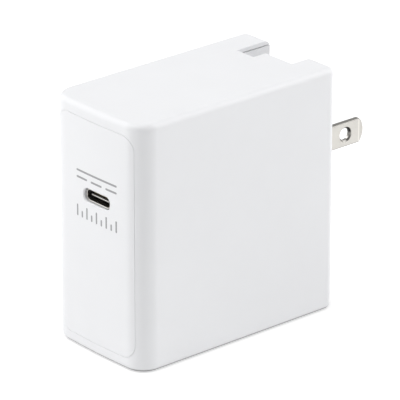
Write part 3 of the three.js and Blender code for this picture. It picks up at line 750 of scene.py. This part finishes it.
def can_end(node):
    """Bare end of a can, pressed with a cross-shaped vent."""
    centre, size = span_of(node)
    radius = size.y / 2 - SLEEVE_LAP - CAN_END_GAP
    end = size.x / 2
    foot, edge, face = (end - depth for depth in CAN_END_DEPTHS)
    disc = turned([(foot, radius), (edge, radius), (face, radius - CAN_END_CHAMFER)], AXIS_X, centre)
    reach = VENT_REACH * radius
    half = VENT_WIDTH / 2
    x0 = centre.x + end - VENT_DEPTH
    bars = [
        block(x0, x0 + OVERLAP, centre.y - a, centre.y + a, centre.z - b, centre.z + b)
        for a, b in ((reach, half), (half, reach))
    ]
    return cut(disc, *bars)


def dipped_disc(node, axis):
    """Disc coated by dipping: a bead-like rim and nearly flat faces."""
    centre, size = span_of(node)
    half = size[axis] / 2
    radius = size[(axis + 1) % 3] / 2
    rim = rounding(DISC_ROUNDNESS * half, COARSE)
    profile = [(h - half, radius - inset) for inset, h in rim]
    profile += [(half - h, radius - inset) for inset, h in reversed(rim)]
    return turned([(-half, DISC_MIDDLE_R), *profile, (half, DISC_MIDDLE_R)], axis, centre)


def fuse_can(node):
    """Short can along X: a chamfered foot and a rounded free end."""
    centre, size = span_of(node)
    half = size.x / 2
    radius = size.y / 2
    foot = [(-half, radius - FUSE_CHAMFER), (FUSE_CHAMFER - half, radius)]
    cap = [(half - h, radius - inset) for inset, h in reversed(rounding(FUSE_EDGE_R, COARSE))]
    return turned([*foot, *cap], AXIS_X, centre)


def choke_core(node):
    """Powder-coated ring core."""
    centre, size = span_of(node)
    half = size.x / 2
    ring = cut(
        turned([(-half, size.y / 2), (half, size.y / 2)], AXIS_X, centre),
        turned([(-half - OVERLAP, CHOKE_BORE_R), (half + OVERLAP, CHOKE_BORE_R)], AXIS_X, centre),
    )
    return round_edges(ring, everywhere, CHOKE_EDGE_R)


def choke_winding(side):
    """Turns of wire round one side of the ring core: +1 is towards +Y."""
    centre, size = span_of("choke_core")
    clear = CHOKE_GAP + CHOKE_WIRE_R
    inner = CHOKE_BORE_R - clear
    outer = size.y / 2 + clear
    long = size.x + 2 * clear
    flat = rounded_rectangle(outer - inner, long, CHOKE_BEND_R, (inner + outer) / 2, 0, COARSE)
    along = Vector((1, 0, 0))
    winding = bmesh.new()
    for i in range(CHOKE_TURNS):
        turn = CHOKE_SPREAD * (2 * i / (CHOKE_TURNS - 1) - 1)
        out = Vector((0, side * math.cos(turn), math.sin(turn)))
        path = [centre + out * a + along * b for a, b in flat]
        add_to(winding, wire_loop(path, along.cross(out), CHOKE_WIRE_R))
    return winding


# ---- Printed marks: plain strokes of ink on the bowed plate ----
def ink(strokes):
    """A film of ink for each (x0, x1, z0, z1) stroke, with rounded ends."""
    film = bmesh.new()
    for x0, x1, z0, z1 in strokes:
        radius = min(x1 - x0, z1 - z0) / 2 - TINY
        outline = rounded_rectangle(x1 - x0, z1 - z0, radius, (x0 + x1) / 2, (z0 + z1) / 2, COARSE)
        add_to(film, along_y(outline, -INK_THICKNESS, INK_THICKNESS))
    return bend_to_front(film, FRONT - PLATE_SHOWN_PROUD)


def upper_marks():
    """The sign for direct current: a whole line over a broken one."""
    z = PORT_Z + UPPER_MARK_AT
    half = MARK_WIDTH / 2
    dash = MARK_WIDTH / DASHES_ACROSS
    lines = [(PORT_X - half, PORT_X + half, z + LINES_APART, z + LINES_APART + STROKE)]
    for middle in (dash / 2 - half, 0, half - dash / 2):
        x = PORT_X + middle
        lines.append((x - dash / 2, x + dash / 2, z - LINES_APART - STROKE, z - LINES_APART))
    return ink(lines)


def lower_marks():
    """A plain scale of upright ticks, every other one tall."""
    base = PORT_Z + LOWER_MARK_AT - MARK_HEIGHT / 2
    step = (MARK_WIDTH - STROKE) / (TICKS - 1)
    ticks = []
    for i in range(TICKS):
        x = PORT_X + (i - (TICKS - 1) / 2) * step
        height = MARK_HEIGHT if i % 2 == 0 else SHORT_TICK * MARK_HEIGHT
        ticks.append((x - STROKE / 2, x + STROKE / 2, base, base + height))
    return ink(ticks)


# ---- Materials ----
class Finish:
    """Node tree of one material. Texture coordinates are the piece's own, in metres."""

    def __init__(self, name):
        self.material = bpy.data.materials.new(name)
        self.material.use_nodes = True
        self.tree = self.material.node_tree
        self.shader = self.tree.nodes["Principled BSDF"]
        self.position = self.node("TexCoord").outputs["Object"]

    def node(self, kind, inputs=None, **settings):
        made = self.tree.nodes.new("ShaderNode" + kind)
        for name, value in settings.items():
            setattr(made, name, value)
        for name, value in (inputs or {}).items():
            self.feed(made.inputs[name], value)
        return made

    def feed(self, socket, value):
        if isinstance(value, bpy.types.NodeSocket):
            self.tree.links.new(value, socket)
        else:
            socket.default_value = value

    def set(self, name, value):
        self.feed(self.shader.inputs[name], value)

    def stretched(self, size, stretch=(1, 1, 1)):
        """Coordinates for features of about size millimetres, longer along some axes."""
        scale = [1 / (size * MM * s) for s in stretch]
        return self.node("Mapping", {"Vector": self.position, "Scale": scale}).outputs["Vector"]

    def noise(self, size, detail=2, stretch=(1, 1, 1)):
        """Cloudy value from 0 to 1 with features of about size millimetres, longer along some axes."""
        inputs = {"Vector": self.stretched(size, stretch), "Scale": 1.0, "Detail": detail}
        return self.node("TexNoise", inputs).outputs["Fac"]

    def along(self, axis):
        """Place along X, Y or Z in millimetres."""
        parts = self.node("SeparateXYZ", {"Vector": self.position})
        return self.math("MULTIPLY", parts.outputs[axis], 1 / MM)

    def span(self, value, low, high, start=0.3, end=0.7):
        """Value from start..end moved to low..high."""
        inputs = {"Value": value, "From Min": start, "From Max": end, "To Min": low, "To Max": high}
        return self.node("MapRange", inputs).outputs["Result"]

    def math(self, operation, a, b=0.0):
        made = self.node("Math", operation=operation)
        self.feed(made.inputs[0], a)
        self.feed(made.inputs[1], b)
        return made.outputs[0]

    def mix(self, factor, first, second):
        """Colour between two. The node's colours are its inputs 6 and 7, and its output 2."""
        made = self.node("Mix", data_type="RGBA")
        self.feed(made.inputs["Factor"], factor)
        self.feed(made.inputs[6], first if isinstance(first, bpy.types.NodeSocket) else (*first, 1))
        self.feed(made.inputs[7], second if isinstance(second, bpy.types.NodeSocket) else (*second, 1))
        return made.outputs[2]

    def edges(self, radius):
        """1 along edges, over about the radius in millimetres, and 0 on open faces."""
        rounded = self.node("Bevel", {"Radius": radius * MM}, samples=6).outputs["Normal"]
        true = self.node("NewGeometry").outputs["Normal"]
        facing = self.node("VectorMath", operation="DOT_PRODUCT")
        self.feed(facing.inputs[0], rounded)
        self.feed(facing.inputs[1], true)
        return self.span(facing.outputs["Value"], 1.0, 0.0, start=0.75, end=0.99)

    def bump(self, height, micrometres):
        """Relief of a 0 to 1 height."""
        inputs = {"Height": height, "Distance": micrometres * MICROMETRE, "Strength": 1.0}
        self.set("Normal", self.node("Bump", inputs).outputs["Normal"])


def shade(color, factor):
    return tuple(channel * factor for channel in color)


def plastic(name, color, roughness, grain=0.22, relief=2.5, mottle=0.015, wear=0.08, rim=0.0):
    """Moulded plastic: fine spark-eroded grain, faint flow clouds, and edges rubbed a little smoother.

    A rim in millimetres paints a shadow over the whole underside, and over the foot of the sides up to that
    height."""
    finish = Finish(name)
    clouds = finish.noise(11, 3)
    fine = finish.noise(grain, 3)
    rubbed = finish.edges(0.35)
    tone = finish.mix(finish.span(clouds, 0, 1), shade(color, 1 - mottle), color)
    if rim:
        # painted shadow: the colour is darkened over the underside and the foot of the sides
        foot = finish.span(finish.along("Z"), 1, 0, start=rim / 2, end=rim)
        tone = finish.mix(foot, tone, shade(color, PAINTED_SHADOW_SHADE))
    finish.set("Base Color", tone)
    satin = finish.span(fine, roughness - 0.05, roughness + 0.05)
    finish.set("Roughness", finish.math("SUBTRACT", satin, finish.math("MULTIPLY", rubbed, wear)))
    finish.set("IOR", 1.49)
    finish.bump(fine, relief)
    return finish.material


def metal(name, color, roughness, drawn=(1, 14, 1), grain=0.12):
    """Metal with fine lines along the way it was drawn, dull patches, and edges polished by handling."""
    finish = Finish(name)
    lines = finish.noise(grain, 3, drawn)
    patches = finish.noise(2.4, 3)
    polished = finish.edges(0.2)
    tone = finish.mix(finish.span(patches, 0, 1), shade(color, 0.8), color)
    bright = finish.mix(polished, tone, shade(color, 1.06))
    finish.set("Base Color", bright)
    finish.set("Metallic", 1.0)
    brushed = finish.span(lines, roughness - 0.06, roughness + 0.08)
    finish.set("Roughness", finish.math("SUBTRACT", brushed, finish.math("MULTIPLY", polished, 0.06)))
    finish.bump(lines, 0.9)
    return finish.material


def printed_ink(name, color):
    """Pad-printed ink: matt, slightly uneven in cover."""
    finish = Finish(name)
    cover = finish.noise(0.25, 4)
    finish.set("Base Color", finish.mix(finish.span(cover, 0, 1), shade(color, 0.93), shade(color, 1.07)))
    finish.set("Roughness", finish.span(cover, 0.5, 0.62))
    finish.bump(cover, 3)
    return finish.material


def blade_plate(name, color, roughness):
    """Nickel plate drawn along the blade, with painted shade on its rounded long edges, on the tip beyond the
    crease and in the top of the hole, and a painted highlight at the crease.
    """
    finish = Finish(name)
    lines = finish.noise(0.12, 3, (1, 14, 1))
    patches = finish.noise(3, 2)
    y = finish.along("Y")
    z = finish.along("Z")
    from_hole_y = finish.math("SUBTRACT", y, BACK + BLADE_HOLE_AT)
    from_hole_z = finish.math("SUBTRACT", z, PIVOT.z)
    squares = [finish.math("MULTIPLY", part, part) for part in (from_hole_y, from_hole_z)]
    from_axis = finish.math("SQRT", finish.math("ADD", *squares))
    # painted shade in the hole and its countersinks, darkest towards the top
    in_hole = finish.span(from_axis, 1, 0, start=BLADE_HOLE_R + 0.25, end=BLADE_HOLE_R + 0.4)
    painted_hole_shade = finish.math("MULTIPLY", in_hole, finish.span(from_hole_z, 0, 1, start=-1.1, end=0.5))
    crease = BLADE_HIGH.y - TIP_BEVEL
    from_crease = finish.math("ABSOLUTE", finish.math("SUBTRACT", y, crease))
    # painted highlight along the crease where the tip bevel starts
    rubbed = finish.span(from_crease, 1, 0, start=0.08, end=0.3)
    tone = finish.mix(finish.span(patches, 0, 1), shade(color, 0.95), color)
    # painted shade over the tip beyond the crease
    bevelled = finish.span(y, 0, 1, start=crease, end=crease + 0.3)
    tone = finish.mix(bevelled, tone, shade(color, 0.88))
    tone = finish.mix(rubbed, tone, shade(color, 1.2))
    # painted shade on the rounded long edges, most where they face halfway between side and top
    facing = finish.node("SeparateXYZ", {"Vector": finish.node("TexCoord").outputs["Normal"]})
    slant = finish.math("ABSOLUTE", finish.math("MULTIPLY", facing.outputs["X"], facing.outputs["Z"]))
    tone = finish.mix(finish.span(slant, 0, 1, start=0.05, end=0.4), tone, shade(color, 0.4))
    # the painted hole shade takes the colour nearly to black
    finish.set("Base Color", finish.mix(painted_hole_shade, tone, shade(color, 0.03)))
    finish.set("Metallic", 1.0)
    finish.set("Roughness", finish.span(lines, roughness - 0.06, roughness + 0.08))
    finish.bump(lines, 0.9)
    return finish.material


def circuit_board(name, color):
    """Solder mask over copper tracks, with small plated holes, on glass laminate."""
    finish = Finish(name)
    inputs = {"Vector": finish.stretched(5), "Scale": 1.0}
    blocks = finish.node("TexVoronoi", inputs, distance="CHEBYCHEV").outputs["Distance"]
    ripple = finish.math("PINGPONG", finish.math("MULTIPLY", blocks, 4.5), 0.5)
    tracks = finish.span(ripple, 0, 1, start=0.2, end=0.26)
    holes = finish.node("TexVoronoi", {"Vector": finish.stretched(2.4), "Scale": 1.0})
    plated = finish.span(holes.outputs["Distance"], 1, 0, start=0.08, end=0.11)
    weave = finish.noise(0.3, 2)
    mask = finish.mix(tracks, shade(color, 0.8), shade(color, 1.6))
    finish.set("Base Color", finish.mix(plated, mask, COLOR_OF["contact_gold"]))
    finish.set("Metallic", plated)
    finish.set("Roughness", finish.span(weave, 0.3, 0.42))
    finish.bump(finish.math("ADD", tracks, finish.math("MULTIPLY", weave, 0.2)), 25)
    return finish.material


def sintered(name, color):
    """Pressed and fired ferrite: matt, speckled, with lighter chipped edges."""
    finish = Finish(name)
    speckle = finish.noise(0.12, 4)
    chipped = finish.math("MULTIPLY", finish.edges(0.25), finish.span(finish.noise(0.5, 3), 0, 1))
    tone = finish.mix(finish.span(speckle, 0, 1), shade(color, 0.7), shade(color, 1.5))
    finish.set("Base Color", finish.mix(chipped, tone, shade(color, 3)))
    finish.set("Roughness", finish.span(speckle, 0.6, 0.85))
    finish.bump(speckle, 9)
    return finish.material


def dipped(name, color):
    """Thick dipped coat with orange peel."""
    finish = Finish(name)
    waves = finish.noise(0.9, 2)
    pores = finish.noise(0.15, 2)
    finish.set("Base Color", finish.mix(finish.span(waves, 0, 1), shade(color, 0.85), shade(color, 1.15)))
    finish.set("Roughness", finish.span(pores, 0.18, 0.34))
    finish.set("Coat Weight", 0.4)
    finish.set("Coat Roughness", 0.12)
    finish.bump(finish.math("ADD", waves, finish.math("MULTIPLY", pores, 0.15)), 14)
    return finish.material


def film_wrap(name, color, wrinkle=(1, 1, 6)):
    """Thin film pulled tight: glossy, with fine stretch wrinkles and darker creased edges."""
    finish = Finish(name)
    wrinkles = finish.noise(0.5, 3, wrinkle)
    creased = finish.edges(0.3)
    tone = finish.mix(finish.span(wrinkles, 0, 1), shade(color, 0.9), shade(color, 1.06))
    finish.set("Base Color", finish.mix(creased, tone, shade(color, 0.75)))
    finish.set("Roughness", finish.span(wrinkles, 0.2, 0.36))
    finish.bump(wrinkles, 8)
    return finish.material


def shrink_sleeve(name, color):
    """Shrunk vinyl with a plain pale stripe down one side to mark the negative lead."""
    finish = Finish(name)
    box = finish.node("SeparateXYZ", {"Vector": finish.node("TexCoord").outputs["Generated"]})
    stripe = finish.span(box.outputs["Y"], 1, 0, start=0.05, end=0.06)
    wrinkles = finish.noise(0.7, 2, (5, 1, 1))
    tone = finish.mix(finish.span(wrinkles, 0, 1), shade(color, 0.8), shade(color, 1.3))
    finish.set("Base Color", finish.mix(stripe, tone, STRIPE_GREY))
    finish.set("Roughness", finish.span(wrinkles, 0.22, 0.38))
    finish.bump(wrinkles, 10)
    return finish.material


def enamelled(name, color, pitch=0):
    """Copper under clear enamel. A pitch in millimetres draws turns stacked along Z."""
    finish = Finish(name)
    patches = finish.noise(1.2, 3)
    fine = finish.noise(0.08, 2)
    finish.set("Base Color", finish.mix(finish.span(patches, 0, 1), shade(color, 0.8), shade(color, 1.25)))
    finish.set("Metallic", 0.85)
    finish.set("Roughness", finish.span(fine, 0.22, 0.34))
    finish.set("Coat Weight", 0.6)
    if pitch:
        turns = finish.math("PINGPONG", finish.along("Z"), pitch / 2)
        finish.bump(finish.span(turns, 0, 1, start=0, end=pitch / 2), 200)
    else:
        finish.bump(fine, 1.5)
    return finish.material


def tint(maker, slot, *settings, **more):
    """A finish in the colour that the record gives the slot."""
    return maker(slot, COLOR_OF[slot], *settings, **more)


FINISHES = {
    "case_white": plastic("case_white", WHITE, 0.42, rim=PAINTED_SHADOW_HEIGHT),
    "plate_white": plastic("plate_white", WHITE, 0.38, grain=0.16, relief=1.5, mottle=0.01),
    # the cover's white is set darker than the case's to paint the shade on the notch walls it forms
    "cover_white": plastic("cover_white", shade(WHITE, 0.94), 0.46, grain=0.3, relief=3.5),
    "black_plastic": tint(plastic, "black_plastic", 0.4, mottle=0.2),
    "blade_nickel": blade_plate("blade_nickel", NICKEL, 0.33),
    "shell_steel": metal("shell_steel", STEEL, 0.3),
    "spring_bronze": tint(metal, "spring_bronze", 0.34, drawn=(1, 1, 12)),
    "contact_gold": tint(metal, "contact_gold", 0.22),
    "sheet_aluminium": tint(metal, "sheet_aluminium", 0.38, drawn=(1, 1, 16), grain=0.2),
    "copper_wire": tint(enamelled, "copper_wire", 0.5),
    "board_green": tint(circuit_board, "board_green"),
    "ferrite": tint(sintered, "ferrite"),
    "tape_yellow": tint(film_wrap, "tape_yellow"),
    "capacitor_sleeve": tint(shrink_sleeve, "capacitor_sleeve"),
    "film_case": tint(plastic, "film_case", 0.42, grain=0.3, relief=5, mottle=0.06),
    "disc_blue": tint(dipped, "disc_blue"),
    "disc_green": tint(dipped, "disc_green"),
    "fuse_brown": tint(plastic, "fuse_brown", 0.36, mottle=0.15),
    "pad_grey": tint(plastic, "pad_grey", 0.8, grain=0.1, relief=8, mottle=0.12, wear=0.0),
    "sheet_amber": tint(film_wrap, "sheet_amber", (1, 8, 1)),
    "white_plastic": tint(plastic, "white_plastic", 0.45, grain=0.2, mottle=0.04),
    "lead_black": tint(plastic, "lead_black", 0.5, grain=0.15, relief=4, mottle=0.2),
}
PORT_INK = printed_ink("port_ink", INK_GREY)
WIRE_ENAMEL = enamelled("choke_enamel", COLOR_OF["copper_wire"])


# ---- Putting pieces in place ----
def place(name, solid, finish, body="charger", stands_for=()):
    """Scales a solid to metres, smooths its rounds and lets it ride on a body."""
    made = as_object(solid, name)
    made.data.transform(Matrix.Scale(MM, 4))
    made.data.polygons.foreach_set("use_smooth", [True] * len(made.data.polygons))
    made.data.set_sharp_from_angle(angle=math.radians(SHARP_ABOVE))
    normals = made.modifiers.new("normals", "WEIGHTED_NORMAL")
    normals.keep_sharp = True
    made.data.materials.append(finish)
    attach(made, body)
    if stands_for:
        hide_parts(*stands_for)
    return made


replaced = set()


def place_node(node, solid, body="charger", finish=None):
    """A fine mesh that stands for the CAD node of the same name."""
    slot = SLOT_OF[node]
    replaced.add(node)
    return place(node + "_fine", solid, finish or FINISHES[slot], body, (node,))


def dress(node, cad):
    """Finish and softened edges for a CAD node that is shown as it is. Leads are made round and smooth."""
    materials = cad.data.materials
    finish = FINISHES[SLOT_OF[node]]
    if materials:
        materials[0] = finish
    else:
        materials.append(finish)
    cad.modifiers.new("weld", "WELD").merge_threshold = WELD
    if node.endswith("_lead"):
        smooth = cad.modifiers.new("round", "SUBSURF")
        smooth.levels = 2
        smooth.render_levels = 2
        return
    soften = cad.modifiers.new("soften", "BEVEL")
    soften.width = NODE_EDGE_R * MM
    soften.segments = 2
    soften.limit_method = "ANGLE"
    soften.angle_limit = math.radians(SOFTENED_ABOVE)
    cad.modifiers.new("normals", "WEIGHTED_NORMAL").keep_sharp = True


place_node("outer_sleeve", outer_sleeve())
place_node("front_plate", front_plate())
place_node("rear_cover", rear_cover())
place_node("blade_carrier", blade_carrier(), "plug")
place_node("blade_left", blade(-BLADE_X), "plug")
place_node("blade_right", blade(BLADE_X), "plug")
place_node("usb_shell", usb_shell())
place_node("usb_tongue", usb_tongue())
place_node("usb_contacts_upper", contact_row("usb_contacts_upper"))
place_node("usb_contacts_lower", contact_row("usb_contacts_lower"))
place("usb_mid_plate", mid_plate(), FINISHES["shell_steel"])
place("port_marks_upper", upper_marks(), PORT_INK)
place("port_marks_lower", lower_marks(), PORT_INK)

for can in sorted(node for node in SLOT_OF if "_capacitor_" in node):
    place_node(can, can_capacitor(can))
    place(can + "_end", can_end(can), FINISHES["sheet_aluminium"])
place_node("inrush_thermistor", dipped_disc("inrush_thermistor", AXIS_Z))
place_node("y_capacitor", dipped_disc("y_capacitor", AXIS_Y))
place_node("fuse", fuse_can("fuse"))
place_node("choke_core", choke_core("choke_core"))
place_node("choke_winding_left", choke_winding(-1), finish=WIRE_ENAMEL)
place_node("choke_winding_right", choke_winding(1), finish=WIRE_ENAMEL)

for node, cad in frame["nodes"].items():
    if node not in replaced:
        dress(node, cad)


# ---- Floor, light and camera ----
CENTRE = Vector((0, 0, MIDDLE * MM))


def direction(azimuth, elevation):
    """Unit vector towards a viewer who stands at that azimuth: 0 is in front of the port, 90 at +X."""
    turn = math.radians(azimuth)
    lift = math.radians(elevation)
    return Vector((math.sin(turn) * math.cos(lift), -math.cos(turn) * math.cos(lift), math.sin(lift)))


def aim(made, azimuth, elevation, distance):
    """Stands a light or camera off the object and turns it to face its middle."""
    towards = direction(azimuth, elevation)
    made.location = CENTRE + towards * distance
    made.rotation_euler = towards.to_track_quat("Z", "Y").to_euler()


def add_object(name, data):
    made = bpy.data.objects.new(name, data)
    bpy.context.scene.collection.objects.link(made)
    return made


def softbox(name, azimuth, elevation, power):
    data = bpy.data.lights.new(name, "AREA")
    data.size = SOFTBOX_SIZE
    data.energy = power
    made = add_object(name, data)
    aim(made, azimuth, elevation, SOFTBOX_DISTANCE)
    made.visible_camera = False


def seen_or_not(tree, unseen, seen):
    """A strength that is one value for the camera and another as a source of light."""
    path = tree.nodes.new("ShaderNodeLightPath")
    strength = tree.nodes.new("ShaderNodeMapRange")
    strength.inputs["To Min"].default_value = unseen
    strength.inputs["To Max"].default_value = seen
    tree.links.new(path.outputs["Is Camera Ray"], strength.inputs["Value"])
    return strength.outputs["Result"]


def floor():
    """Wide pale sheet that also glows a little, as a lit sweep does."""
    sheet = rectangle(-FLOOR_HALF, FLOOR_HALF, -FLOOR_HALF, FLOOR_HALF)
    mesh = bpy.data.meshes.new("floor")
    mesh.from_pydata([(x, y, 0) for x, y in sheet], [], [(0, 1, 2, 3)])
    made = add_object("floor", mesh)
    finish = Finish("floor_paper")
    finish.set("Base Color", FLOOR_COLOR)
    finish.set("Roughness", 0.9)
    finish.set("Emission Color", (1, 1, 1, 1))
    finish.set("Emission Strength", seen_or_not(finish.tree, FLOOR_GLOW, FLOOR_GLOW_SEEN))
    mesh.materials.append(finish.material)


def sky():
    """White for the camera, and dimmer as a source of light."""
    world = bpy.data.worlds.new("studio")
    bpy.context.scene.world = world
    world.use_nodes = True
    tree = world.node_tree
    background = tree.nodes["Background"]
    background.inputs["Color"].default_value = (1, 1, 1, 1)
    tree.links.new(seen_or_not(tree, SKY_STRENGTH, SKY_STRENGTH_SEEN), background.inputs["Strength"])


def camera():
    data = bpy.data.cameras.new("camera")
    data.lens = CAMERA_LENS
    data.shift_x, data.shift_y = CAMERA_SHIFT
    data.clip_end = 20
    made = add_object("camera", data)
    aim(made, CAMERA_AZIMUTH, CAMERA_ELEVATION, CAMERA_DISTANCE)
    bpy.context.scene.camera = made


floor()
sky()
softbox("left_box", azimuth=-60, elevation=30, power=8.3)
softbox("front_box", azimuth=-10, elevation=62, power=7.3)
softbox("back_right_box", azimuth=150, elevation=30, power=10.9)
camera()
bpy.context.scene.view_settings.view_transform = "Standard"
